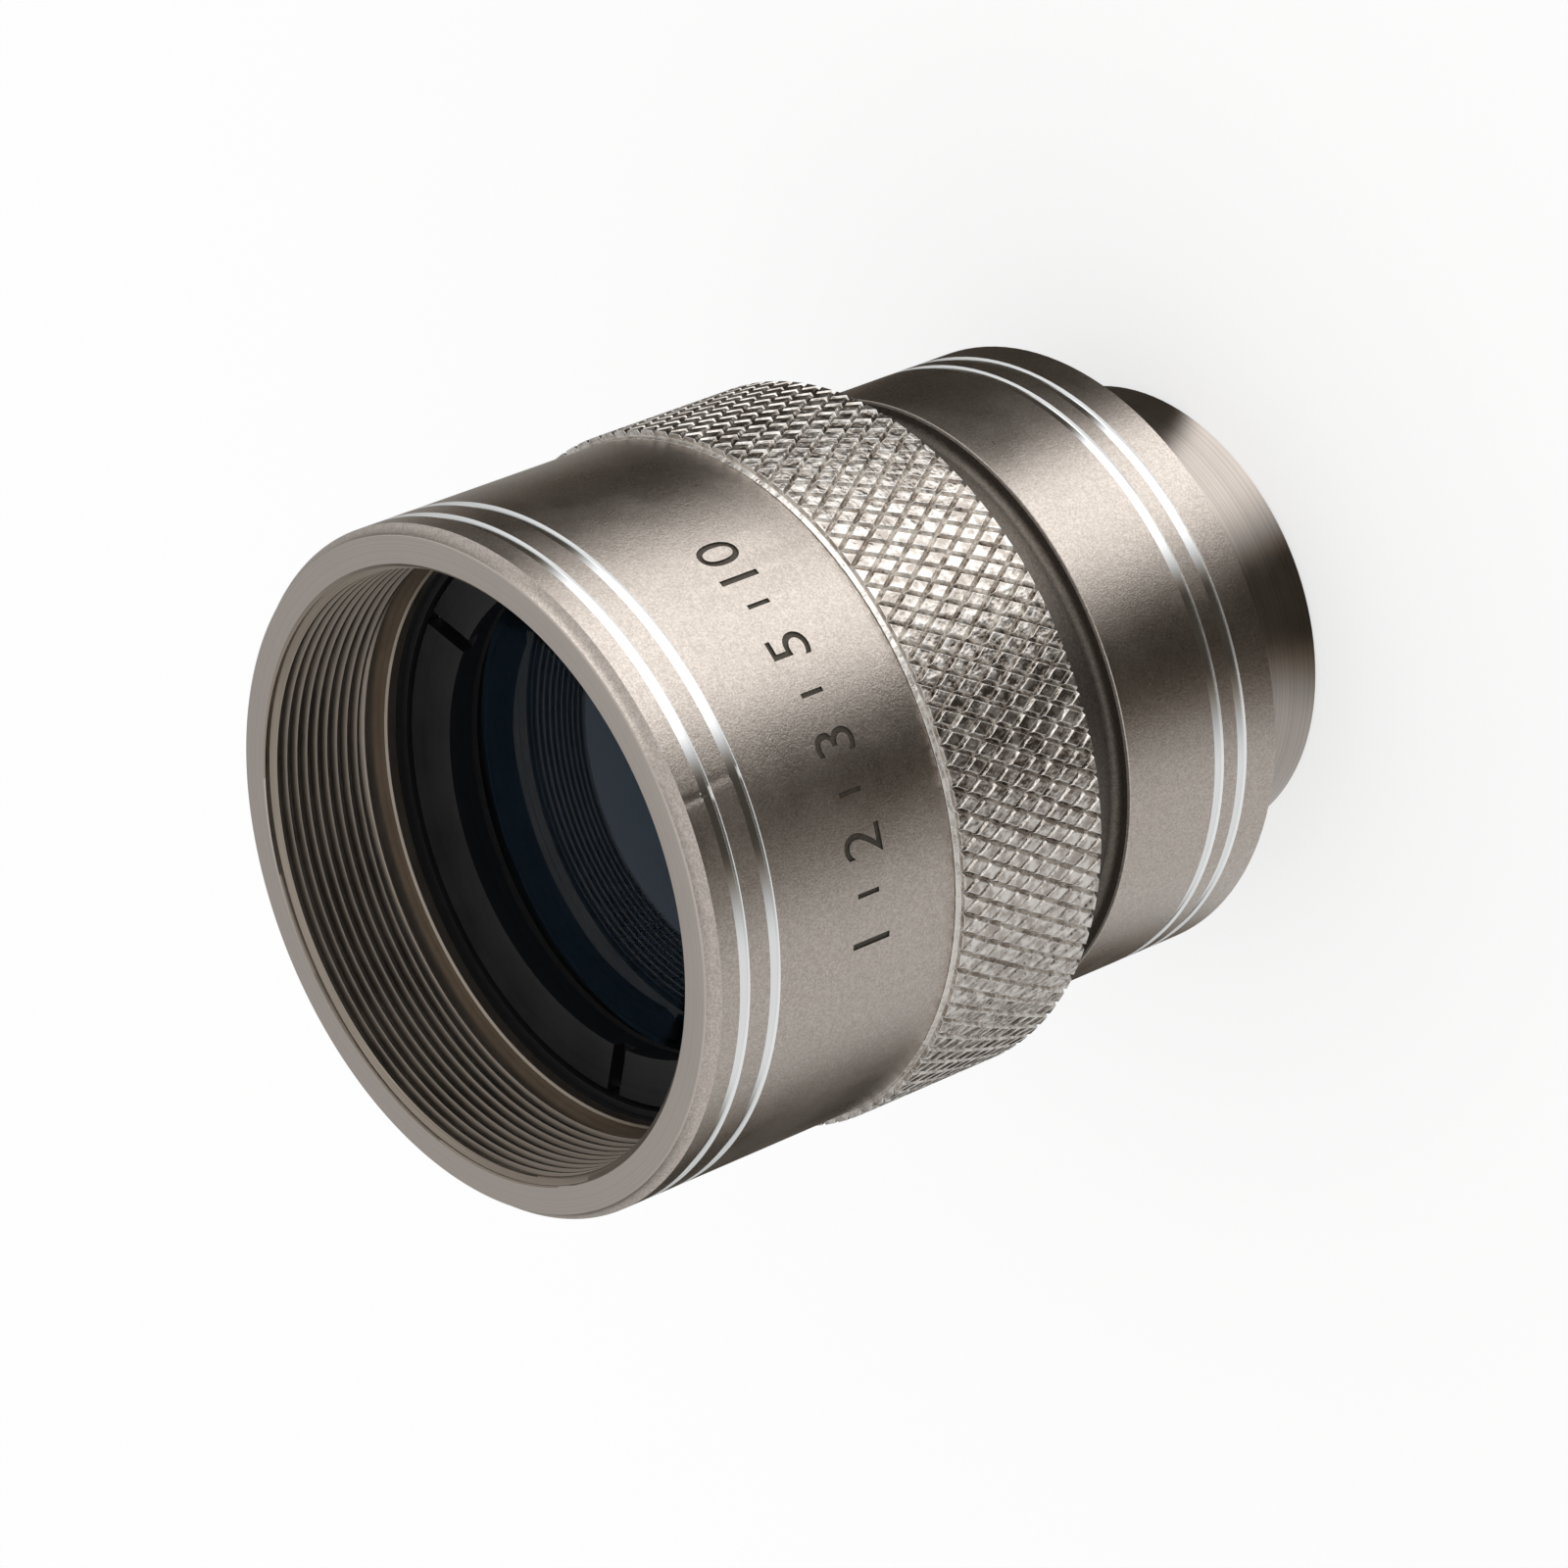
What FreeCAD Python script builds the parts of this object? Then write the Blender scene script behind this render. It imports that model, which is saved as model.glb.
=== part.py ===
"""A screw-on telephoto converter lens that focuses on a coarse inner thread.

The lens stands on its rear spigot. The origin is the centre of the spigot's end face,
+Z runs along the lens axis towards the front glass, and all sizes are millimetres.
The rear barrel and its neck stay still. The front barrel turns on the neck with its
knurled grip and winds back along it. The lens cell inside is pushed along by the barrel
but is kept from turning by three keys, so the front glass only slides.
"""

import FreeCAD
import Part
import math
import os
from FreeCAD import Vector

AXIS = Vector(0, 0, 1)
CENTRE = Vector(0, 0, 0)

# Front thread for a hood or filter, which the widths of the whole lens follow from
thread_diameter = 37.0
thread_pitch = 0.75
thread_length = 7.7
thread_relief_length = 1.0
thread_relief_depth = 0.5
thread_lead_in = 0.5
thread_crest_share = 1 / 4
thread_root_share = 1 / 8

# Outer form, from the front face to the rear end
rim_wall = 2.25
front_length = 18.5
grip_stand = 0.45
grip_length = 11.25
focus_gap = 4.3
rear_stand = 1.05
rear_length = 12.3
shim_thickness = 0.2
spigot_diameter = 28.4
spigot_length = 7.9

# Focusing movement
helicoid_lead = 12.0
focus_turn = 120.0
stop_clearance = 0.3

# Clearances between pieces
running_clearance = 0.1
seat_clearance = 0.03
end_play = 0.05

# Edges and the two pairs of polished grooves
rim_bevel_width = 0.45
rim_bevel_length = 0.7
edge_bevel = 0.3
fine_bevel = 0.15
front_groove_depths = (2.52, 4.79)
rear_groove_heights = (3.06, 4.94)
groove_width = 0.75
groove_depth = 0.15
groove_side = 0.08

# Knurled grip ring
knurl_teeth = 105
knurl_rows = 10
knurl_depth = 0.25
knurl_land_length = 1.5
grip_front_bevel = 0.3
grip_rear_bevel = 0.25
grip_wall = 1.7
grip_seat_recess = 0.1

# Neck of the rear barrel, which the front barrel turns on
neck_bore_step = 0.6
neck_wall = 2.0
neck_root_radius = 0.5

# Thrust ring, thrust washers and rib that hold the cell in the front barrel
thrust_ring_depth = 1.2
thrust_ring_thickness = 1.3
thrust_ring_width = 0.45
washer_thickness = 0.35
front_washer_width = 0.4
rear_washer_width = 1.1
rib_thickness = 0.8
rib_height = 1.5

# Felt ring in the skirt of the front barrel
felt_width = 1.0
felt_depth = 0.9
felt_setback = 0.45

# Lens cell
cell_flange_length = 7.9
cell_rim_width = 0.45
cell_rim_depth = 1.1
cell_seat_thickness = 0.9
cell_seat_width = 2.33
cell_glass_wall = 1.57
cell_tail_length = 17.5
cell_tail_wall = 1.0

# Front glass, a cemented pair
crown_thickness = 5.4
crown_front_curve = 62.0
front_cement_curve = 70.0
flint_thickness = 1.8

# Inner glass, flat in front
inner_glass_thickness = 3.6
inner_glass_curve = 52.7
inner_ring_width = 1.7
inner_ring_thickness = 1.1

# Retaining ring and seal over the front glass
front_ring_width = 2.85
front_ring_dish = 0.65
front_ring_stand = 1.5
front_ring_flare = 0.3
seal_setback = 0.4
seal_width = 1.1
notch_width = 1.1
notch_depth = 0.8
front_notch_count = 3
front_notch_turn = 29.0

# Baffle tube in the tail of the cell
baffle_length = 4.5
baffle_wall = 3.1
baffle_grooves = 4
baffle_groove_depth = 1.3
baffle_setback = 0.2

# Guide keys and their screws
key_count = 3
key_length = 4.0
key_width = 3.0
key_side_clearance = 0.05
key_setback = 2.0
key_end_clearance = 0.2
key_first_turn = 30.0
screw_setback = 1.0
screw_head_diameter = 3.0
screw_head_height = 0.8
screw_head_sink = 0.2
screw_head_clearance = 0.1
screw_shank_diameter = 1.6
screw_end_gap = 0.2
screw_slot_width = 0.35
screw_slot_depth = 0.3

# Rear group, a cemented pair in the spigot
web_thickness = 1.2
web_width = 3.6
stop_thickness = 0.5
stop_bore = 18.0
stop_edge = 0.1
spigot_nose_diameter = 26.0
spigot_lip_thickness = 0.8
spigot_lip_bore = 19.2
spigot_undercut_width = 0.6
spigot_undercut_depth = 0.2
rear_glass_diameter = 20.8
concave_thickness = 1.5
concave_front_curve = 24.0
rear_cement_curve = 24.0
meniscus_thickness = 3.0
meniscus_rear_curve = 40.0
rear_ring_thickness = 1.5
rear_ring_bore = 18.4
rear_ring_wall = 2.2
rear_ring_grip = 0.3
rear_notch_count = 2

# Radii of the outside, from the front thread outwards
thread_depth = 5 * math.sqrt(3) / 16 * thread_pitch
thread_inner_radius = thread_diameter / 2 - thread_depth
barrel_radius = thread_diameter / 2 + rim_wall
grip_radius = barrel_radius + grip_stand
grip_seat_radius = grip_radius - grip_wall
knurl_root_radius = grip_radius - knurl_depth

# Radii of the neck and of the cell inside it, from the front thread inwards
helicoid_radius = thread_diameter / 2 - neck_bore_step
neck_radius = helicoid_radius - running_clearance
rear_radius = neck_radius + rear_stand
neck_bore_radius = neck_radius - neck_wall
flange_radius = helicoid_radius - running_clearance
tail_radius = neck_bore_radius - running_clearance
tail_bore_radius = tail_radius - cell_tail_wall
glass_bore_radius = flange_radius - cell_glass_wall
front_glass_radius = glass_bore_radius - seat_clearance
cell_seat_radius = glass_bore_radius - cell_seat_width
inner_glass_radius = tail_bore_radius - seat_clearance
inner_ring_bore_radius = tail_bore_radius - inner_ring_width
front_ring_seat_radius = flange_radius - cell_rim_width
front_ring_bore_radius = front_ring_seat_radius - front_ring_width
baffle_bore_radius = tail_bore_radius - baffle_wall
web_bore_radius = neck_bore_radius - web_width

# Radii of the rear group
spigot_radius = spigot_diameter / 2
nose_radius = spigot_nose_diameter / 2
rear_glass_radius = rear_glass_diameter / 2

# Slide of the barrel and cell from stop to stop
focus_travel = helicoid_lead * focus_turn / 360

# Heights above the spigot's end face
z_shoulder = spigot_length
z_rear_face = z_shoulder + shim_thickness
z_rear_front = z_rear_face + rear_length
z_grip_rear = z_rear_front + focus_gap
z_grip_front = z_grip_rear + grip_length
z_front = z_grip_front + front_length
z_skirt = z_grip_rear + grip_seat_recess
z_relief = z_front - thread_length
z_chamber = z_relief - thread_relief_length
z_thrust_front = z_chamber - thrust_ring_depth
z_thrust_rear = z_thrust_front - thrust_ring_thickness
z_flange_front = z_thrust_rear - washer_thickness - end_play
z_flange_rear = z_flange_front - cell_flange_length
z_rib_front = z_flange_rear - end_play - washer_thickness
z_rib_rear = z_rib_front - rib_thickness
z_neck_front = z_rib_rear - focus_travel - stop_clearance
z_tail_end = z_flange_rear - cell_tail_length
z_bore_end = z_tail_end - focus_travel - stop_clearance
z_web_rear = z_bore_end - web_thickness
z_nose_front = z_web_rear - stop_thickness
z_key_front = z_neck_front - key_setback
z_key_rear = z_key_front - key_length
z_screw = z_key_front - screw_setback
z_felt_rear = z_skirt + felt_setback
z_glass_seat = z_flange_rear + cell_seat_thickness
z_cell_rim = z_flange_front - cell_rim_depth


def sag(curve, radius):
    """Height of a spherical surface's rim above its middle."""
    return curve - math.sqrt(curve * curve - radius * radius)


def point(radius, height):
    """A point of a turned outline."""
    return Vector(radius, 0, height)


def turned(outline):
    """Solid of revolution about the lens axis.

    Each entry of the outline is a (radius, height) corner, or a pair of such points:
    one that an arc passes through and the one where it ends.
    """
    edges = []
    first = point(*outline[0])
    last = first
    for entry in outline[1:] + [outline[0]]:
        if isinstance(entry[0], tuple):
            middle = point(*entry[0])
            end = point(*entry[1])
            edges.append(Part.Arc(last, middle, end).toShape())
        else:
            end = point(*entry)
            edges.append(Part.makeLine(last, end))
        last = end
    face = Part.Face(Part.Wire(edges))
    return face.revolve(CENTRE, AXIS, 360)


def washer(outer_radius, inner_radius, low, high):
    """Plain flat ring between two heights."""
    return turned([(outer_radius, low), (outer_radius, high), (inner_radius, high), (inner_radius, low)])


def groove(radius, middle):
    """Outline of a polished groove, from its front side to its rear side."""
    half = groove_width / 2
    floor = radius - groove_depth
    return [
        (radius, middle + half),
        (floor, middle + half - groove_side),
        (floor, middle - half + groove_side),
        (radius, middle - half),
    ]


def turn_about_axis(shape, degrees):
    """Copy of a shape, turned about the lens axis."""
    copy = shape.copy()
    copy.rotate(CENTRE, AXIS, degrees)
    return copy


def around_axis(shape, count, first_turn):
    """Evenly spaced copies of a shape about the lens axis."""
    return [turn_about_axis(shape, first_turn + 360 * n / count) for n in range(count)]


def radial_rod(radius, inner, outer, height):
    """Round rod that points outwards along +X at a given height."""
    return Part.makeCylinder(radius, outer - inner, Vector(inner, 0, height), Vector(1, 0, 0))


def spanner_notches(ring, outer_radius, top_height, count, first_turn):
    """Even notches cut across the front or rear face of a retaining ring."""
    corner = Vector(0, -notch_width / 2, top_height - notch_depth)
    bar = Part.makeBox(outer_radius + seat_clearance, notch_width, 2 * notch_depth, corner)
    return ring.cut(around_axis(bar, count, first_turn))


def thread_rings():
    """Outline of the front thread's wall, from the relief to the lead-in at the face.

    Each turn of the thread is a plain ring here, so that the wall has few faces.
    """
    low = z_relief + thread_relief_depth
    high = z_front - thread_lead_in
    root_radius = thread_inner_radius + thread_depth
    crest = thread_crest_share * thread_pitch
    root = thread_root_share * thread_pitch
    flank = (thread_pitch - crest - root) / 2
    count = int((high - low - crest) / thread_pitch)
    first = (low + high + crest - count * thread_pitch) / 2
    outline = [(thread_inner_radius, low)]
    for turn in range(count):
        start = first + turn * thread_pitch
        outline += [
            (thread_inner_radius, start),
            (root_radius, start + flank),
            (root_radius, start + flank + root),
            (thread_inner_radius, start + thread_pitch - crest),
        ]
    outline.append((thread_inner_radius, high))
    return outline


def front_barrel():
    """Outer tube with the front thread, the chamber for the cell and the neck's bore."""
    bevel_radius = barrel_radius - rim_bevel_width
    relief_radius = thread_inner_radius + thread_relief_depth
    felt_radius = helicoid_radius + felt_depth
    outline = [(bevel_radius, z_front), (barrel_radius, z_front - rim_bevel_length)]
    for depth in front_groove_depths:
        outline += groove(barrel_radius, z_front - depth)
    outline += [
        (barrel_radius, z_grip_front + fine_bevel),
        (barrel_radius - fine_bevel, z_grip_front),
        (grip_seat_radius, z_grip_front),
        (grip_seat_radius, z_skirt),
        (helicoid_radius + edge_bevel, z_skirt),
        (helicoid_radius, z_skirt + edge_bevel),
        (helicoid_radius, z_felt_rear),
        (felt_radius, z_felt_rear),
        (felt_radius, z_felt_rear + felt_width),
        (helicoid_radius, z_felt_rear + felt_width),
        (helicoid_radius, z_rib_rear),
        (helicoid_radius - rib_height, z_rib_rear),
        (helicoid_radius - rib_height, z_rib_front),
        (helicoid_radius, z_rib_front),
        (helicoid_radius, z_chamber - fine_bevel),
        (helicoid_radius + fine_bevel, z_chamber),
        (relief_radius, z_chamber),
        (relief_radius, z_relief),
    ]
    outline += thread_rings()
    outline.append((thread_inner_radius + thread_lead_in, z_front))
    return turned(outline)


def felt_ring():
    """Felt that wipes the neck at the rear of the skirt."""
    outer = helicoid_radius + felt_depth - seat_clearance
    low = z_felt_rear + seat_clearance
    high = z_felt_rear + felt_width - seat_clearance
    return washer(outer, helicoid_radius, low, high)


def knurl_cell_corners():
    """Corners of one diamond and of its land, seen with the diamond's middle on +X.

    The land is flat. Its half width follows from its length so that each of the four
    flanks between the land and the grooves is flat as well.
    """
    half_tooth = math.pi / knurl_teeth
    row_step = (grip_length - grip_front_bevel - grip_rear_bevel) / knurl_rows
    across = knurl_root_radius * math.sin(half_tooth)
    inward = knurl_root_radius * math.cos(half_tooth)
    land_end = knurl_land_length / 2
    rise = grip_radius - inward
    land_side = across * land_end * knurl_depth
    land_side /= row_step * rise - (knurl_root_radius - inward) * land_end
    corners = {
        "left": Vector(inward, -across, 0),
        "right": Vector(inward, across, 0),
        "front": Vector(knurl_root_radius, 0, row_step),
        "rear": Vector(knurl_root_radius, 0, -row_step),
        "land_left": Vector(grip_radius, -land_side, 0),
        "land_right": Vector(grip_radius, land_side, 0),
        "land_front": Vector(grip_radius, 0, land_end),
        "land_rear": Vector(grip_radius, 0, -land_end),
    }
    return corners, row_step


def flat_face(corners, *names):
    """Flat face through the named corners."""
    loop = [corners[name] for name in names]
    return Part.Face(Part.makePolygon(loop + [loop[0]]))


def knurl_cell(corners, halves):
    """Faces of one diamond, or of the half of it that a row at the knurl's edge keeps."""
    faces = []
    for half in halves:
        faces.append(flat_face(corners, "left", half, "land_" + half, "land_left"))
        faces.append(flat_face(corners, "right", "land_right", "land_" + half, half))
    if len(halves) == 2:
        faces.append(flat_face(corners, "land_left", "land_front", "land_right", "land_rear"))
    else:
        faces.append(flat_face(corners, "land_left", "land_" + halves[0], "land_right"))
    return faces


def knurl_end(corners, height, turn, inner_radius):
    """Flat toothed face at one end of the knurl."""
    spin = FreeCAD.Rotation(AXIS, 1.0)
    loop = []
    for tooth in range(knurl_teeth):
        spin.Angle = math.radians(turn + 360 * tooth / knurl_teeth)
        for name in ("left", "land_left", "land_right"):
            loop.append(spin.multVec(corners[name]) + Vector(0, 0, height))
    outer = Part.makePolygon(loop + [loop[0]])
    inner = Part.Wire(Part.makeCircle(inner_radius, Vector(0, 0, height), AXIS))
    return Part.makeFace([outer, inner], "Part::FaceMakerBullseye")


def grip_ring():
    """Grip with a raised diamond knurl, pressed over the skirt of the front barrel."""
    corners, row_step = knurl_cell_corners()
    z_low = z_grip_rear + grip_rear_bevel
    z_high = z_grip_front - grip_front_bevel
    whole = knurl_cell(corners, ("front", "rear"))
    front_half = knurl_cell(corners, ("rear",))
    rear_half = knurl_cell(corners, ("front",))
    faces = []
    for row in range(knurl_rows + 1):
        if row == 0:
            cell = rear_half
        elif row == knurl_rows:
            cell = front_half
        else:
            cell = whole
        turn = 180 / knurl_teeth * (row % 2)
        for tooth in range(knurl_teeth):
            for face in cell:
                copy = turn_about_axis(face, turn + 360 * tooth / knurl_teeth)
                copy.translate(Vector(0, 0, z_low + row * row_step))
                faces.append(copy)
    edge_radius = knurl_root_radius - fine_bevel / 2
    bore_radius = grip_seat_radius + seat_clearance
    front_turn = 180 / knurl_teeth * (knurl_rows % 2)
    faces.append(knurl_end(corners, z_low, 0, edge_radius))
    faces.append(knurl_end(corners, z_high, front_turn, edge_radius))
    profile = Part.makePolygon([
        point(edge_radius, z_high),
        point(barrel_radius, z_grip_front),
        point(bore_radius, z_grip_front),
        point(bore_radius, z_grip_rear),
        point(edge_radius - grip_rear_bevel, z_grip_rear),
        point(edge_radius, z_low),
    ])
    faces += profile.revolve(CENTRE, AXIS, 360).Faces
    skin = Part.Compound(faces)
    skin.sewShape()
    solid = Part.Solid(skin.Shells[0])
    if solid.Volume < 0:
        solid.reverse()
    return solid


def thrust_ring():
    """Black ring screwed into the chamber in front of the cell."""
    outer = helicoid_radius - seat_clearance
    return washer(outer, helicoid_radius - thrust_ring_width, z_thrust_rear, z_thrust_front)


def front_thrust_washer():
    """Washer between the thrust ring and the cell's rim."""
    outer = helicoid_radius - running_clearance
    low = z_thrust_rear - washer_thickness
    return washer(outer, outer - front_washer_width + seat_clearance, low, z_thrust_rear)


def rear_thrust_washer():
    """Washer between the cell's flange and the rib."""
    outer = helicoid_radius - running_clearance
    high = z_rib_front + washer_thickness
    return washer(outer, outer - rear_washer_width, z_rib_front, high)


def lens_cell():
    """Keyed tube that carries the front glass and slides inside the neck."""
    body = turned([
        (flange_radius - fine_bevel, z_flange_front),
        (flange_radius, z_flange_front - fine_bevel),
        (flange_radius, z_flange_rear),
        (tail_radius, z_flange_rear),
        (tail_radius, z_tail_end + edge_bevel),
        (tail_radius - edge_bevel, z_tail_end),
        (tail_bore_radius, z_tail_end),
        (tail_bore_radius, z_flange_rear),
        (cell_seat_radius, z_flange_rear),
        (cell_seat_radius, z_glass_seat),
        (glass_bore_radius, z_glass_seat),
        (glass_bore_radius, z_cell_rim),
        (front_ring_seat_radius, z_cell_rim),
        (front_ring_seat_radius, z_flange_front),
    ])
    slot_high = z_key_front + focus_travel + stop_clearance
    slot_low = z_key_rear - key_end_clearance
    slot_width = key_width + 2 * key_side_clearance
    slot = Part.makeBox(
        2 * cell_tail_wall + neck_wall,
        slot_width,
        slot_high - slot_low,
        Vector(tail_bore_radius - cell_tail_wall, -slot_width / 2, slot_low),
    )
    return body.cut(around_axis(slot, key_count, key_first_turn))


def crown_rear_middle():
    """Height of the middle of the cemented surface in the front pair."""
    return z_glass_seat + flint_thickness


def front_crown_element():
    """Front lens of the cemented pair, bulging on both sides."""
    radius = front_glass_radius
    rear = crown_rear_middle()
    front = rear + crown_thickness
    half = radius / 2
    return turned([
        (0, rear),
        ((half, rear + sag(front_cement_curve, half)), (radius, rear + sag(front_cement_curve, radius))),
        (radius, front - sag(crown_front_curve, radius)),
        ((half, front - sag(crown_front_curve, half)), (0, front)),
    ])


def front_flint_element():
    """Rear lens of the cemented pair, hollow in front and flat behind."""
    radius = front_glass_radius
    front = crown_rear_middle()
    half = radius / 2
    return turned([
        (0, z_glass_seat),
        (radius, z_glass_seat),
        (radius, front + sag(front_cement_curve, radius)),
        ((half, front + sag(front_cement_curve, half)), (0, front)),
    ])


def crown_front_height(radius):
    """Height of the front glass surface at a radius."""
    return crown_rear_middle() + crown_thickness - sag(crown_front_curve, radius)


def front_seal_ring():
    """Rubber seal between the front glass and its retaining ring."""
    inner = front_ring_bore_radius + seal_setback
    return washer(inner + seal_width, inner, crown_front_height(inner), z_cell_rim)


def front_retaining_ring():
    """Dished satin black ring with three spanner notches, screwed into the cell's rim."""
    outer = front_ring_seat_radius - seat_clearance
    inner = front_ring_bore_radius
    top = z_flange_front + front_ring_stand
    ring = turned([
        (outer, z_cell_rim),
        (outer, top - fine_bevel),
        (outer - fine_bevel, top),
        (inner, top - front_ring_dish),
        (inner + front_ring_flare, z_cell_rim),
    ])
    return spanner_notches(ring, outer, top - front_ring_dish, front_notch_count, front_notch_turn)


def inner_convex_element():
    """Third front lens, flat against the cell's seat and bulging to the rear."""
    radius = inner_glass_radius
    rear = z_flange_rear - inner_glass_thickness
    half = radius / 2
    return turned([
        (0, z_flange_rear),
        (0, rear),
        ((half, rear + sag(inner_glass_curve, half)), (radius, rear + sag(inner_glass_curve, radius))),
        (radius, z_flange_rear),
    ])


def inner_retaining_ring():
    """Ring screwed into the tail behind the inner lens."""
    inner = inner_ring_bore_radius
    high = z_flange_rear - inner_glass_thickness + sag(inner_glass_curve, inner)
    return washer(tail_bore_radius - seat_clearance, inner, high - inner_ring_thickness, high)


def glare_baffle():
    """Black tube with saw-tooth grooves that stops stray light at the cell's tail."""
    outer = tail_bore_radius - seat_clearance
    inner = baffle_bore_radius
    low = z_tail_end + baffle_setback
    step = baffle_length / baffle_grooves
    outline = [(outer, low), (outer, low + baffle_length), (inner, low + baffle_length)]
    for n in range(baffle_grooves, 0, -1):
        outline.append((inner + baffle_groove_depth, low + step * (n - 1)))
        if n > 1:
            outline.append((inner, low + step * (n - 1)))
    return turned(outline)


def rear_barrel():
    """Fixed barrel with the long neck in front and the spigot's socket behind."""
    root = neck_root_radius
    root_middle = root * (1 - math.sqrt(0.5))
    outline = [
        (neck_radius - edge_bevel, z_neck_front),
        (neck_radius, z_neck_front - edge_bevel),
        (neck_radius, z_rear_front + root),
        ((neck_radius + root_middle, z_rear_front + root_middle), (neck_radius + root, z_rear_front)),
        (rear_radius - fine_bevel, z_rear_front),
        (rear_radius, z_rear_front - fine_bevel),
    ]
    for height in reversed(rear_groove_heights):
        outline += groove(rear_radius, z_rear_face + height)
    outline += [
        (rear_radius, z_rear_face + edge_bevel),
        (rear_radius - edge_bevel, z_rear_face),
        (nose_radius + seat_clearance, z_rear_face),
        (nose_radius + seat_clearance, z_web_rear),
        (web_bore_radius, z_web_rear),
        (web_bore_radius, z_bore_end),
        (neck_bore_radius, z_bore_end),
        (neck_bore_radius, z_neck_front),
    ]
    body = turned(outline)
    head_floor = neck_radius - screw_head_sink - screw_head_height
    head_hole = radial_rod(
        screw_head_diameter / 2 + screw_head_clearance, head_floor, neck_radius + neck_wall, z_screw
    )
    shank_hole = radial_rod(
        screw_shank_diameter / 2 + seat_clearance, neck_bore_radius - neck_wall, neck_radius, z_screw
    )
    return body.cut(around_axis(head_hole.fuse(shank_hole), key_count, key_first_turn))


def guide_keys():
    """Brass keys that stand in the cell's slots, curved to sit in the neck's bore."""
    outer = neck_bore_radius - seat_clearance
    inner = tail_bore_radius + seat_clearance
    ring = washer(outer, inner, z_key_rear, z_key_front)
    block = Part.makeBox(outer, key_width, key_length, Vector(0, -key_width / 2, z_key_rear))
    hole = radial_rod(screw_shank_diameter / 2 + seat_clearance, 0, outer, z_screw)
    key = ring.common(block).cut(hole)
    return around_axis(key, key_count, key_first_turn)


def guide_screws():
    """Slotted screws sunk in the neck, each holding one key."""
    head_top = neck_radius - screw_head_sink
    head_floor = head_top - screw_head_height
    tip = tail_bore_radius + screw_end_gap
    head = radial_rod(screw_head_diameter / 2, head_floor, head_top, z_screw)
    shank = radial_rod(screw_shank_diameter / 2, tip, head_floor, z_screw)
    slot = Part.makeBox(
        2 * screw_slot_depth,
        2 * screw_head_diameter,
        screw_slot_width,
        Vector(head_top - screw_slot_depth, -screw_head_diameter, z_screw - screw_slot_width / 2),
    )
    return around_axis(head.fuse(shank).removeSplitter().cut(slot), key_count, key_first_turn)


def rear_stop_ring():
    """Thin black stop with a sharp edge, held between the web and the spigot's nose."""
    outer = nose_radius - seat_clearance
    inner = stop_bore / 2
    return turned([
        (outer, z_nose_front),
        (outer, z_web_rear),
        (inner, z_nose_front + stop_edge),
        (inner, z_nose_front),
    ])


def rear_glass_heights():
    """Heights along the axis where the rear pair's surfaces cross it."""
    rim = z_nose_front - spigot_lip_thickness
    first = rim - sag(concave_front_curve, rear_glass_radius)
    second = first - concave_thickness
    third = second - meniscus_thickness
    return rim, first, second, third


def rear_ring_height():
    """Height of the rear glass rim, which the rear retaining ring presses on."""
    third = rear_glass_heights()[3]
    return third - sag(meniscus_rear_curve, rear_glass_radius)


def mount_spigot():
    """Rear spigot with its threaded nose and the seat for the rear pair."""
    rim = rear_glass_heights()[0]
    bore = rear_glass_radius + seat_clearance
    socket_radius = rear_ring_bore / 2 + rear_ring_wall
    undercut = spigot_radius - spigot_undercut_depth
    return turned([
        (nose_radius, z_nose_front),
        (nose_radius, z_shoulder),
        (undercut, z_shoulder),
        (undercut, z_shoulder - spigot_undercut_width),
        (spigot_radius, z_shoulder - spigot_undercut_width - spigot_undercut_depth),
        (spigot_radius, edge_bevel),
        (spigot_radius - edge_bevel, 0),
        (socket_radius, 0),
        (socket_radius, rear_ring_height() + rear_ring_grip),
        (bore, rear_ring_height() + rear_ring_grip),
        (bore, rim),
        (spigot_lip_bore / 2, rim),
        (spigot_lip_bore / 2, z_nose_front),
    ])


def spigot_shim():
    """Brass shim under the spigot's shoulder, which sets the rear pair's distance."""
    outer = spigot_radius - spigot_undercut_depth
    return washer(outer, nose_radius + seat_clearance, z_shoulder, z_rear_face)


def rear_concave_element():
    """First lens of the rear pair, hollow on both sides."""
    rim, first, second, _ = rear_glass_heights()
    radius = rear_glass_radius
    half = radius / 2
    return turned([
        (0, first),
        ((half, first + sag(concave_front_curve, half)), (radius, rim)),
        (radius, second - sag(rear_cement_curve, radius)),
        ((half, second - sag(rear_cement_curve, half)), (0, second)),
    ])


def rear_meniscus_element():
    """Second lens of the rear pair, cemented into the hollow of the first."""
    second, third = rear_glass_heights()[2:]
    radius = rear_glass_radius
    half = radius / 2
    return turned([
        (0, second),
        ((half, second - sag(rear_cement_curve, half)), (radius, second - sag(rear_cement_curve, radius))),
        (radius, third - sag(meniscus_rear_curve, radius)),
        ((half, third - sag(meniscus_rear_curve, half)), (0, third)),
    ])


def rear_retaining_ring():
    """Notched ring screwed into the spigot behind the rear glass."""
    inner = rear_ring_bore / 2
    outer = inner + rear_ring_wall - seat_clearance
    high = rear_ring_height()
    low = high - rear_ring_thickness
    ring = turned([
        (outer, low),
        (outer, high),
        (inner, high),
        (inner, low + edge_bevel),
        (inner + edge_bevel, low),
    ])
    return spanner_notches(ring, outer, low, rear_notch_count, 0)


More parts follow.
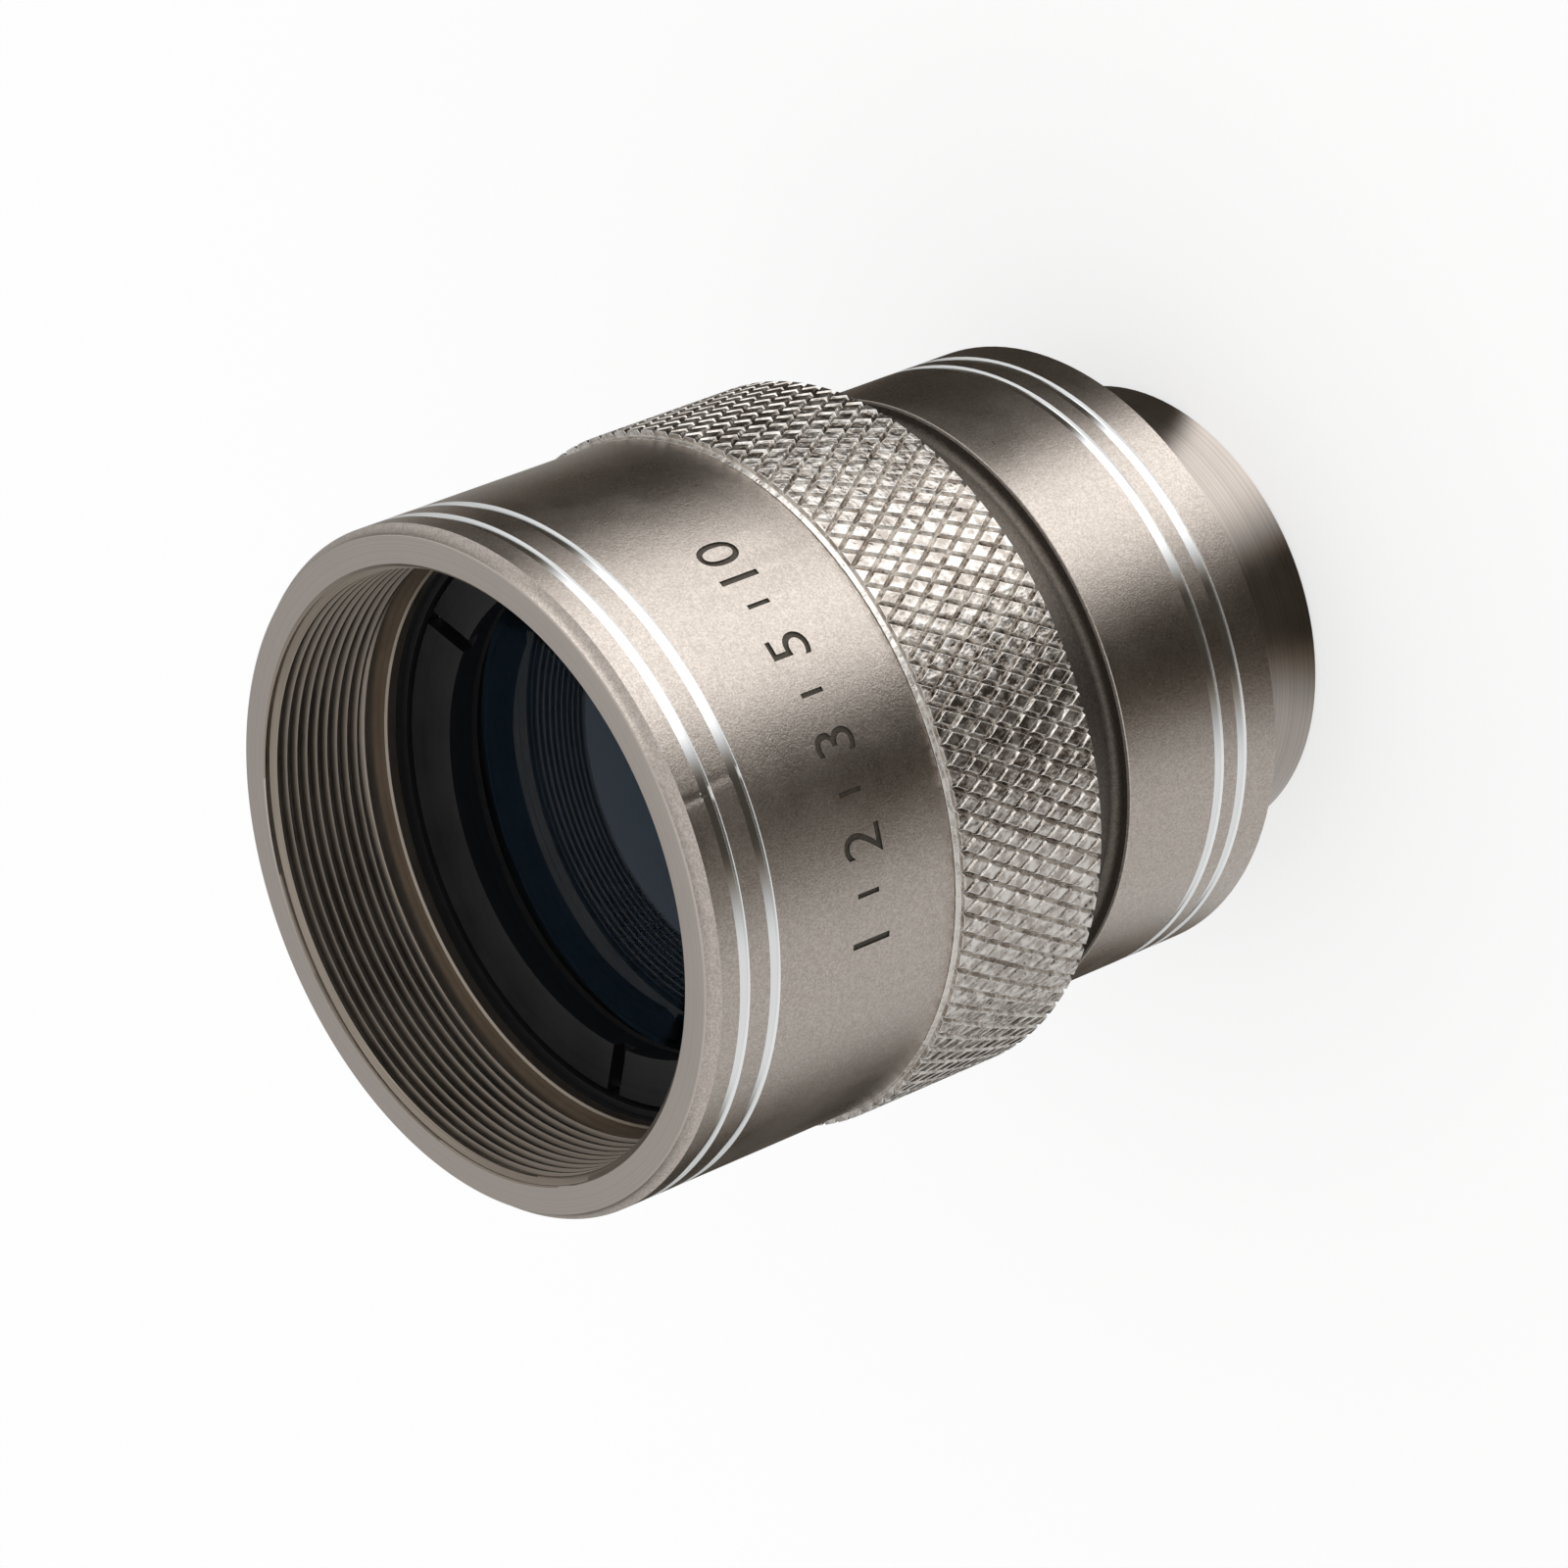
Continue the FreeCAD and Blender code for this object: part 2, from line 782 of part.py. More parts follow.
PIECES = {
    "front_barrel": front_barrel,
    "grip_ring": grip_ring,
    "skirt_felt_ring": felt_ring,
    "thrust_ring": thrust_ring,
    "front_thrust_washer": front_thrust_washer,
    "rear_thrust_washer": rear_thrust_washer,
    "lens_cell": lens_cell,
    "front_retaining_ring": front_retaining_ring,
    "front_seal_ring": front_seal_ring,
    "front_crown_element": front_crown_element,
    "front_flint_element": front_flint_element,
    "inner_convex_element": inner_convex_element,
    "inner_retaining_ring": inner_retaining_ring,
    "glare_baffle": glare_baffle,
    "rear_barrel": rear_barrel,
    "guide_keys": guide_keys,
    "guide_screws": guide_screws,
    "rear_stop_ring": rear_stop_ring,
    "mount_spigot": mount_spigot,
    "spigot_shim": spigot_shim,
    "rear_concave_element": rear_concave_element,
    "rear_meniscus_element": rear_meniscus_element,
    "rear_retaining_ring": rear_retaining_ring,
}


def main():
    os.makedirs("parts", exist_ok=True)
    for name, make in PIECES.items():
        made = make()
        solids = made if isinstance(made, list) else made.Solids
        shape = solids[0] if len(solids) == 1 else Part.Compound(solids)
        for solid in solids:
            if not solid.isValid():
                raise ValueError(name + " is not a valid solid")
        shape.exportStep("parts/" + name + ".step")
        box = shape.BoundBox
        print(f"{name}: {len(solids)} solid(s), {shape.Volume:.1f} mm3, "
              f"z {box.ZMin:.2f} to {box.ZMax:.2f}, width {box.XLength:.2f}")
    turn_per_metre = math.radians(focus_turn) / focus_travel * 1000
    print(f"length {z_front:.2f}, travel {focus_travel:.2f}, "
          f"turn {turn_per_metre:.3f} radians per metre of slide")


main()
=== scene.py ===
import math

import bmesh
import bpy
from mathutils import Matrix, Vector


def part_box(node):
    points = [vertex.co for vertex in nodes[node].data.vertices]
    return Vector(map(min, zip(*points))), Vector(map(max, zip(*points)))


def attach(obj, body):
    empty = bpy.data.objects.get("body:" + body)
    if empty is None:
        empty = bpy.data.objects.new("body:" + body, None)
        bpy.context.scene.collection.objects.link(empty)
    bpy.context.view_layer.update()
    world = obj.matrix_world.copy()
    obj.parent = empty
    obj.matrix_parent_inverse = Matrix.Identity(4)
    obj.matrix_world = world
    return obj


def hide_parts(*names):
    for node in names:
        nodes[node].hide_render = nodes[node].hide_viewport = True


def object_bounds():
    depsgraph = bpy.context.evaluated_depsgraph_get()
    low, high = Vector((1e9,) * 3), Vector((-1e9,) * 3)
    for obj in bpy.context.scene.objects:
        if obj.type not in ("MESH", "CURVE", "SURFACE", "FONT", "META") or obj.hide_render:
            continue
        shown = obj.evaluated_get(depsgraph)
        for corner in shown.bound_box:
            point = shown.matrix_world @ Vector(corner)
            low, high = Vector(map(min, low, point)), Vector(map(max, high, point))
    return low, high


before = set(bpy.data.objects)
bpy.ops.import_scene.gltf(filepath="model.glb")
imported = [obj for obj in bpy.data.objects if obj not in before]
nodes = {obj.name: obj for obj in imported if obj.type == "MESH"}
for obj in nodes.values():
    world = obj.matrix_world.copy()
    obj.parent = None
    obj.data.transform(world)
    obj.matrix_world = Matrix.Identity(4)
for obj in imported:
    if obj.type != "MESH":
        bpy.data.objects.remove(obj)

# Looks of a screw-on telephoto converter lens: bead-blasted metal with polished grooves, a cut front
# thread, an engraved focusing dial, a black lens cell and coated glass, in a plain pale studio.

MM = 0.001
cad_low, cad_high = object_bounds()


# Sizes in millimetres, on heights and radii read from the parts in model.glb

def top(node):
    """Height of a node's front end."""
    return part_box(node)[1].z / MM


def bottom(node):
    """Height of a node's rear end."""
    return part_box(node)[0].z / MM


def reach(node):
    """Largest radius of a round node."""
    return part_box(node)[1].x / MM


front_face = top("front_barrel")
barrel_radius = reach("front_barrel")
grip_front = top("grip_ring")
skirt_end = bottom("front_barrel")
rear_face = bottom("rear_barrel")

sharp_edge = 32
weld_distance = 0.0005
turned_segments = 720
face_radius = 20.27
bore_side_radius = 19.27
face_round = 0.16
lip_radius = 20.52
lip_length = 0.62
lip_bevel = 0.18
groove_depths = (2.52, 4.79)
rear_groove_heights = (3.06, 4.94)
neck_height = 12.2
groove_width = 0.75
groove_floor = 0.15
groove_side = 0.08
seam_round = 0.12
round_steps = 5
grip_seat_radius = 19.5
shoulder_length = 0.3
neck_bore_radius = 17.9
skirt_bevel = 0.3
felt_radius = 18.8
felt_rear = 0.45
felt_front = 1.45
rib_radius = 16.4
rib_rear = 33.75
rib_front = 34.55
chamber_height = 45.75
chamber_bevel = 0.12
black_chamber_top = 45.0

thread_pitch = 0.75
thread_crest_radius = 18.094
thread_root_radius = 18.5
thread_end_radius = 18.594
thread_start = 46.75
crest_share = 0.25
root_share = 0.125
flank_share = (1 - crest_share - root_share) / 2

# Dial: lengths in millimetres, turns in degrees, and a digit's height as a share of its font size
dial_height = 42.5
dial_depth = 0.12
digit_height = 2.9
digit_share = 0.72
digit_curve_steps = 6
digit_spacing = 16.4
dial_first_turn = -124.0
dial_numbers = ("1", "2", "3", "5", "10")
tick_length = 1.6
tick_width = 0.3

# Dings in the groove edges: turn in degrees, height, push inwards and towards the front
dings = ((-91.7, 52.25, 0.09, 0.12), (-90.2, 49.95, 0.06, 0.08))
ding_size = 0.32


# Meshes

def finished_mesh(name, build, materials, sharp_angle=sharp_edge):
    """Object from a bmesh, smooth apart from its sharp edges."""
    bmesh.ops.remove_doubles(build, verts=build.verts, dist=weld_distance * MM)
    bmesh.ops.recalc_face_normals(build, faces=build.faces)
    mesh = bpy.data.meshes.new(name)
    build.to_mesh(mesh)
    build.free()
    for material in materials:
        mesh.materials.append(material)
    mesh.shade_smooth()
    mesh.set_sharp_from_angle(angle=math.radians(sharp_angle))
    piece = bpy.data.objects.new(name, mesh)
    bpy.context.scene.collection.objects.link(piece)
    return piece


def dinged(angle, radius, height):
    """Radius and height of a point of the wall after the dings near it."""
    if radius < barrel_radius - groove_floor / 2:
        return radius, height
    for turn, middle, inwards, forwards in dings:
        aside = barrel_radius * math.remainder(angle - math.radians(turn), 2 * math.pi)
        near = math.exp(-(aside ** 2 + (height - middle) ** 2) / (2 * (ding_size / 2) ** 2))
        radius -= inwards * near
        height += forwards * near
    return radius, height


def turned(outline, segments, zone_of):
    """Bmesh of a wall turned about the lens axis.

    The outline is a function of the share of a turn, and gives the closed wall as
    (radius, height) points in millimetres, always as many. One more column than there
    are segments lets a helix meet its own start. Each strip of the wall gets the number
    of its finish from zone_of.
    """
    build = bmesh.new()
    columns = []
    for segment in range(segments + 1):
        share = segment / segments
        angle = 2 * math.pi * share
        column = []
        for radius, height in outline(share):
            radius, height = dinged(angle, radius, height)
            place = Vector((radius * math.cos(angle), radius * math.sin(angle), height)) * MM
            column.append(build.verts.new(place))
        columns.append(column)
    count = len(columns[0])
    for left, right in zip(columns, columns[1:]):
        for row in range(count):
            after = (row + 1) % count
            face = build.faces.new((left[row], right[row], right[after], left[after]))
            face.material_index = zone_of(left[row].co, left[after].co)
    return build


def rounded(radius, height, size, step_radius, step_height):
    """Points round a corner, from the first side to the second.

    The steps are the directions in radius and height from the corner back along each side.
    """
    points = []
    for step in range(round_steps + 1):
        turn = math.pi / 2 * step / round_steps
        along_first = size * (1 - math.sin(turn))
        along_second = size * (1 - math.cos(turn))
        place = (
            radius + step_radius[0] * along_first + step_height[0] * along_second,
            height + step_radius[1] * along_first + step_height[1] * along_second,
        )
        points.append(place)
    return points


def groove(radius, middle):
    """Outline of a polished groove, from its front side to its rear side."""
    half = groove_width / 2
    floor = radius - groove_floor
    return [
        (radius, middle + half),
        (floor, middle + half - groove_side),
        (floor, middle - half + groove_side),
        (radius, middle - half),
    ]


def thread_outline(share):
    """Outline of the front thread at a share of a turn, from the relief to the face."""
    steps = (
        (0.0, thread_crest_radius),
        (crest_share, thread_crest_radius),
        (crest_share + flank_share, thread_root_radius),
        (crest_share + flank_share + root_share, thread_root_radius),
    )
    points = []
    turns = int((front_face - thread_start) / thread_pitch) + 2
    for turn in range(-1, turns):
        for offset, radius in steps:
            height = thread_start + thread_pitch * (turn + share + offset)
            points.append((radius, height))
    clipped = []
    for radius, height in points[1:-1]:
        if height < thread_start:
            height, radius = thread_start, thread_end_radius
        elif height > front_face:
            height, radius = front_face, thread_end_radius
        rear_cone = thread_end_radius - (height - thread_start)
        front_cone = thread_end_radius - (front_face - height)
        clipped.append((max(radius, rear_cone, front_cone), height))
    return clipped


def barrel_outline(share):
    """Closed outline of the front barrel's wall at a share of a turn."""
    outline = rounded(face_radius, front_face, face_round, (-1, 0), (0, -1)) + [
        (lip_radius, front_face - lip_length),
        (barrel_radius, front_face - lip_length - lip_bevel),
    ]
    for depth in groove_depths:
        outline += groove(barrel_radius, front_face - depth)
    outline += rounded(barrel_radius, grip_front, seam_round, (0, 1), (-1, 0))
    outline += [
        (grip_seat_radius, grip_front),
        (grip_seat_radius, skirt_end),
        (neck_bore_radius + skirt_bevel, skirt_end),
        (neck_bore_radius, skirt_end + skirt_bevel),
        (neck_bore_radius, skirt_end + felt_rear),
        (felt_radius, skirt_end + felt_rear),
        (felt_radius, skirt_end + felt_front),
        (neck_bore_radius, skirt_end + felt_front),
        (neck_bore_radius, rib_rear),
        (rib_radius, rib_rear),
        (rib_radius, rib_front),
        (neck_bore_radius, rib_front),
        (neck_bore_radius, black_chamber_top),
        (neck_bore_radius, chamber_height - chamber_bevel),
        (neck_bore_radius + chamber_bevel, chamber_height),
        (thread_end_radius, chamber_height),
    ]
    return outline + thread_outline(share)


def wrapped(place, turn, radius, height):
    """Bends a flat point (right, up, out) onto a cylinder at a turn in degrees and a height."""
    angle = math.radians(turn) + place.x / radius
    out = radius + place.z
    return Vector((out * math.cos(angle), out * math.sin(angle), height + place.y)) * MM


def digit_meshes():
    """Thick numbers of the dial, still flat, each with the turn that it stands at."""
    made = []
    for index, words in enumerate(dial_numbers):
        curve = bpy.data.curves.new("dial_number", "FONT")
        curve.body = words
        curve.size = digit_height / digit_share
        curve.align_x = "CENTER"
        curve.extrude = dial_depth
        curve.resolution_u = digit_curve_steps
        letter = bpy.data.objects.new("dial_number", curve)
        mesh = bpy.data.meshes.new_from_object(letter)
        bpy.data.objects.remove(letter)
        made.append((mesh, dial_first_turn + digit_spacing * index))
    return made


def dial_cutter(material):
    """Numbers and ticks bent round the barrel, to be cut from its wall."""
    build = bmesh.new()
    base = dial_height - digit_height / 2
    for mesh, turn in digit_meshes():
        first = len(build.verts)
        build.from_mesh(mesh)
        build.verts.ensure_lookup_table()
        for vert in build.verts[first:]:
            vert.co = wrapped(vert.co, turn, barrel_radius, base)
    for index in range(len(dial_numbers) - 1):
        turn = dial_first_turn + digit_spacing * (index + 0.5)
        box = bmesh.ops.create_cube(build, size=1)
        for vert in box["verts"]:
            flat = Vector((vert.co.x * tick_width, vert.co.y * tick_length, vert.co.z * 2 * dial_depth))
            vert.co = wrapped(flat, turn, barrel_radius, dial_height)
    return finished_mesh("dial_cutter", build, [material])


def cut(piece, cutter):
    """Cuts one object from another, and keeps the cutter's material on the cut faces."""
    change = piece.modifiers.new("engraving", "BOOLEAN")
    change.operation = "DIFFERENCE"
    change.solver = "EXACT"
    change.material_mode = "TRANSFER"
    change.object = cutter
    graph = bpy.context.evaluated_depsgraph_get()
    mesh = bpy.data.meshes.new_from_object(piece.evaluated_get(graph))
    piece.modifiers.remove(change)
    piece.data = mesh
    bpy.data.objects.remove(cutter)
    mesh.set_sharp_from_angle(angle=math.radians(sharp_edge))


# Materials

class Nodes:
    """Adds nodes to a tree and joins them."""

    def __init__(self, tree):
        self.tree = tree
        tree.nodes.clear()

    def add(self, kind, inputs=None, **settings):
        """New node with its settings, and values or links on its inputs."""
        node = self.tree.nodes.new(kind)
        for name, value in settings.items():
            setattr(node, name, value)
        for name, value in (inputs or {}).items():
            self.join(value, node.inputs[name])
        return node

    def join(self, value, socket):
        """Links a socket to an input, or sets a plain value on it."""
        if isinstance(value, bpy.types.NodeSocket):
            self.tree.links.new(value, socket)
        else:
            socket.default_value = value

    def maths(self, operation, first, second=0.0, third=0.0):
        """Sum on numbers."""
        node = self.add("ShaderNodeMath", {0: first, 1: second, 2: third}, operation=operation)
        return node.outputs[0]

    def vector(self, operation, first, second=(0, 0, 0)):
        """Sum on vectors, which gives a number or a vector."""
        node = self.add("ShaderNodeVectorMath", {0: first, 1: second}, operation=operation)
        name = "Value" if operation in ("DOT_PRODUCT", "LENGTH") else "Vector"
        return node.outputs[name]

    def spread(self, value, low, high, to_low=0.0, to_high=1.0):
        """Smooth step of a value from one range to another."""
        node = self.add(
            "ShaderNodeMapRange",
            {"Value": value, "From Min": low, "From Max": high, "To Min": to_low, "To Max": to_high},
            interpolation_type="SMOOTHSTEP",
        )
        return node.outputs["Result"]

    def mix(self, share, first, second):
        """Colour between two colours."""
        node = self.add("ShaderNodeMix", data_type="RGBA")
        self.join(share, node.inputs[0])
        self.join(first, node.inputs[6])
        self.join(second, node.inputs[7])
        return node.outputs[2]

    def noise(self, place, size, detail=2.0, roughness=0.5):
        """Noise with grains of a size in metres."""
        node = self.add(
            "ShaderNodeTexNoise",
            {"Vector": place, "Scale": 1 / size, "Detail": detail, "Roughness": roughness},
        )
        return node.outputs["Fac"]

    def group(self, tree, inputs):
        """Outputs of a node group placed with its own values."""
        node = self.add("ShaderNodeGroup")
        node.node_tree = tree
        for name, value in inputs.items():
            self.join(value, node.inputs[name])
        return node.outputs


def new_group(name, inputs, outputs):
    """Empty node group with its sockets. Inputs are named floats with their plain values."""
    tree = bpy.data.node_groups.new(name, "ShaderNodeTree")
    work = Nodes(tree)
    for label, value in inputs.items():
        socket = tree.interface.new_socket(label, in_out="INPUT", socket_type="NodeSocketFloat")
        socket.default_value = value
    for label in outputs:
        tree.interface.new_socket(label, in_out="OUTPUT", socket_type="NodeSocketFloat")
    entry = work.add("NodeGroupInput").outputs
    leave = work.add("NodeGroupOutput").inputs
    return tree, work, entry, leave


fine_share = 0.8


def blast_grain_group():
    """Fine grain that bead blasting leaves: its height, and a shade with bright specks."""
    tree, work, entry, leave = new_group("blast_grain", {"Grain": 0.16}, ("Height", "Shade", "Specks"))
    place = work.add("ShaderNodeTexCoord").outputs["Object"]
    scale = work.maths("DIVIDE", 1 / MM, entry["Grain"])
    fine = work.add("ShaderNodeTexNoise", {"Vector": place, "Scale": scale, "Detail": 3.0, "Roughness": 0.7})
    coarse_scale = work.maths("MULTIPLY", scale, 0.37)
    coarse = work.add("ShaderNodeTexNoise", {"Vector": place, "Scale": coarse_scale, "Detail": 2.0})
    coarse_part = work.maths("MULTIPLY", coarse.outputs["Fac"], 1 - fine_share)
    height = work.maths("MULTIPLY_ADD", fine.outputs["Fac"], fine_share, coarse_part)
    work.join(height, leave["Height"])
    work.join(work.spread(height, 0.36, 0.64), leave["Shade"])
    work.join(work.spread(fine.outputs["Fac"], 0.66, 0.78), leave["Specks"])
    return tree


def turned_lines_group():
    """Fine rings round the lens axis that a lathe tool leaves."""
    tree, work, entry, leave = new_group("turned_lines", {"Spacing": 0.06}, ("Height",))
    place = work.add("ShaderNodeTexCoord").outputs["Object"]
    split = work.add("ShaderNodeSeparateXYZ", {"Vector": place}).outputs
    flat = work.add("ShaderNodeCombineXYZ", {"X": split["X"], "Y": split["Y"]}).outputs[0]
    radius = work.vector("LENGTH", flat)
    rings = work.add("ShaderNodeCombineXYZ", {"X": radius, "Y": split["Z"]}).outputs[0]
    scale = work.maths("DIVIDE", 1 / MM, entry["Spacing"])
    lines = work.add("ShaderNodeTexNoise", {"Vector": rings, "Scale": scale, "Detail": 2.0, "Roughness": 0.6})
    work.join(lines.outputs["Fac"], leave["Height"])
    return tree


edge_samples = 6


def wear_sheen_hollow_shade_group():
    """Bright edges, worn and with painted highlight, and painted shade in hollows."""
    tree, work, entry, leave = new_group("wear_sheen_hollow_shade", {"Width": 0.05, "Hollow": 0.5}, ("Worn_edge_and_sheen", "Hollow_painted_shade"))
    width = work.maths("MULTIPLY", entry["Width"], MM)
    softened = work.add("ShaderNodeBevel", {"Radius": width}, samples=edge_samples).outputs["Normal"]
    plain = work.add("ShaderNodeNewGeometry").outputs["Normal"]
    bend = work.maths("SUBTRACT", 1.0, work.vector("DOT_PRODUCT", softened, plain))
    hollow = work.maths("MULTIPLY", entry["Hollow"], MM)
    shade = work.add("ShaderNodeAmbientOcclusion", {"Distance": hollow}, samples=edge_samples)
    open_share = shade.outputs["AO"]
    # Edge mask: worn edges, where the colour also paints a highlight
    edge = work.maths("MULTIPLY", work.spread(bend, 0.02, 0.14), work.spread(open_share, 0.5, 0.85))
    work.join(edge, leave["Worn_edge_and_sheen"])
    # Painted shade: the colour darkens where ambient occlusion finds a hollow
    work.join(work.spread(open_share, 0.2, 0.75, 1.0, 0.0), leave["Hollow_painted_shade"])
    return tree


def handling_group():
    """Broad faint smudges from handling."""
    tree, work, entry, leave = new_group("handling", {"Size": 6.0}, ("Smudge",))
    place = work.add("ShaderNodeTexCoord").outputs["Object"]
    scale = work.maths("DIVIDE", 1 / MM, entry["Size"])
    grains = {"Vector": place, "Scale": scale, "Detail": 5.0, "Roughness": 0.62}
    broad = work.add("ShaderNodeTexNoise", grains)
    work.join(work.spread(broad.outputs["Fac"], 0.3, 0.7), leave["Smudge"])
    return tree


def height_band_group():
    """Mask of the band between two heights in millimetres."""
    tree, work, entry, leave = new_group("height_band", {"Low": 0.0, "High": 1.0}, ("Mask",))
    place = work.add("ShaderNodeTexCoord").outputs["Object"]
    height = work.maths("DIVIDE", work.add("ShaderNodeSeparateXYZ", {"Vector": place}).outputs["Z"], MM)
    above = work.maths("GREATER_THAN", height, entry["Low"])
    below = work.maths("LESS_THAN", height, entry["High"])
    work.join(work.maths("MULTIPLY", above, below), leave["Mask"])
    return tree


blast_grain = blast_grain_group()
turned_lines = turned_lines_group()
wear_sheen_hollow_shade = wear_sheen_hollow_shade_group()
handling = handling_group()
height_band = height_band_group()


def empty_material(name):
    """Material with an empty node tree."""
    material = bpy.data.materials.new(name)
    material.use_nodes = True
    return material, Nodes(material.node_tree)


def new_material(name):
    """Material with its shader and its output."""
    material, work = empty_material(name)
    shader = work.add("ShaderNodeBsdfPrincipled")
    work.add("ShaderNodeOutputMaterial", {"Surface": shader.outputs["BSDF"]})
    return material, work, shader


def bump(work, height, depth, normal=None):
    """Normal from a height of 0 to 1, with a depth in millimetres."""
    inputs = {"Height": height, "Distance": depth * MM}
    if normal is not None:
        inputs["Normal"] = normal
    return work.add("ShaderNodeBump", inputs).outputs["Normal"]


satin_colour = (0.6, 0.54, 0.49, 1)
satin_dark = (0.42, 0.372, 0.33, 1)
# Lighter metal for grain specks, the grip's shoulder and worn edges, where it also paints a highlight
wear_and_sheen_colour = (0.8, 0.76, 0.71, 1)
polished_colour = (0.93, 0.94, 0.94, 1)
# Painted shade for hollows
painted_hollow_shade = (0.13, 0.105, 0.08, 1)
engraved_colour = (0.13, 0.11, 0.088, 1)
# Painted shade on the neck behind the grip ring, where the grip shades it
neck_painted_shade = (0.2, 0.175, 0.152, 1)
neck_painted_shade_dark = (0.13, 0.113, 0.097, 1)
satin_roughness = 0.3
groove_roughness = 0.14
neck_roughness = 0.5
no_neck = 1000.0
spigot_colour = (0.46, 0.41, 0.37, 1)
thread_colour = (0.38, 0.325, 0.27, 1)
# Painted shade for the knurl's grooves
knurl_painted_groove_shade = (0.2, 0.165, 0.12, 1)
black_colour = (0.014, 0.014, 0.016, 1)
black_dark = (0.008, 0.008, 0.009, 1)
black_rubbed = (0.09, 0.088, 0.085, 1)
glass_colour = (0.17, 0.225, 0.26, 1)
glass_smudged = (0.22, 0.285, 0.32, 1)
glass_edge = (0.004, 0.004, 0.004, 1)
glass_coating = (0.5, 0.7, 0.95, 1)
glass_bending = 1.52


def satin_metal(name, bands, neck_start=no_neck):
    """Bead-blasted metal with two polished grooves, and painted shade on the neck from a height in
    millimetres.
    """
    material, work, shader = new_material(name)
    grain = work.group(blast_grain, {"Grain": 0.13})
    wear_sheen_and_shade = work.group(wear_sheen_hollow_shade, {"Width": 0.06, "Hollow": 0.4})
    smudge = work.group(handling, {"Size": 7.0})["Smudge"]
    colour = work.mix(grain["Shade"], satin_dark, satin_colour)
    colour = work.mix(work.maths("MULTIPLY", grain["Specks"], 0.6), colour, wear_and_sheen_colour)
    # Painted shade in hollows
    colour = work.mix(work.maths("MULTIPLY", wear_sheen_and_shade["Hollow_painted_shade"], 0.4), colour, painted_hollow_shade)
    # Worn edges with painted highlight
    colour = work.mix(work.maths("MULTIPLY", wear_sheen_and_shade["Worn_edge_and_sheen"], 0.5), colour, wear_and_sheen_colour)
    # Painted shade on the neck
    neck_shade_mask = work.group(height_band, {"Low": neck_start, "High": 2 * neck_start})["Mask"]
    colour = work.mix(neck_shade_mask, colour, work.mix(grain["Shade"], neck_painted_shade_dark, neck_painted_shade))
    rough = work.spread(smudge, 0, 1, satin_roughness - 0.03, satin_roughness + 0.04)
    rough = work.spread(neck_shade_mask, 0, 1, rough, neck_roughness)
    normal = bump(work, grain["Height"], 0.022)
    masks = []
    half = groove_width / 2
    for middle in bands:
        masks.append(work.group(height_band, {"Low": middle - half, "High": middle + half})["Mask"])
    mask = work.maths("MAXIMUM", masks[0], masks[1])
    colour = work.mix(mask, colour, polished_colour)
    rough = work.spread(mask, 0, 1, rough, groove_roughness)
    flat = work.add("ShaderNodeNewGeometry").outputs["Normal"]
    share = work.add("ShaderNodeMix", data_type="VECTOR")
    work.join(mask, share.inputs[0])
    work.join(normal, share.inputs[4])
    work.join(flat, share.inputs[5])
    normal = share.outputs[1]
    work.join(colour, shader.inputs["Base Color"])
    work.join(rough, shader.inputs["Roughness"])
    work.join(normal, shader.inputs["Normal"])
    shader.inputs["Metallic"].default_value = 1.0
    return material


def knurled_metal():
    """Satin metal that the knurling tool has pressed: uneven lands, painted shade in the grooves, worn edges
    with painted highlight.
    """
    material, work, shader = new_material("knurled_metal")
    place = work.add("ShaderNodeTexCoord").outputs["Object"]
    grain = work.group(blast_grain, {"Grain": 0.11})
    wear_sheen_and_shade = work.group(wear_sheen_hollow_shade, {"Width": 0.1, "Hollow": 0.4})
    pressed = work.noise(place, 0.75 * MM, 2.0, 0.55)
    shoulder = work.group(height_band, {"Low": grip_front - shoulder_length, "High": 2 * grip_front})["Mask"]
    colour = work.mix(work.spread(pressed, 0.35, 0.65), satin_dark, wear_and_sheen_colour)
    # Painted shade in the grooves
    colour = work.mix(work.maths("MULTIPLY", wear_sheen_and_shade["Hollow_painted_shade"], 0.3), colour, knurl_painted_groove_shade)
    # Worn edges with a painted polished highlight
    colour = work.mix(wear_sheen_and_shade["Worn_edge_and_sheen"], colour, polished_colour)
    # Lighter shoulder: its smooth turned finish, partly painted highlight
    colour = work.mix(work.maths("MULTIPLY", shoulder, 0.8), colour, wear_and_sheen_colour)
    work.join(colour, shader.inputs["Base Color"])
    work.join(work.spread(pressed, 0.3, 0.7, 0.2, 0.36), shader.inputs["Roughness"])
    worn_normal = work.add("ShaderNodeBevel", {"Radius": 0.06 * MM}, samples=edge_samples).outputs["Normal"]
    normal = bump(work, pressed, 0.16, bump(work, grain["Height"], 0.012, worn_normal))
    work.join(normal, shader.inputs["Normal"])
    shader.inputs["Metallic"].default_value = 1.0
    return material


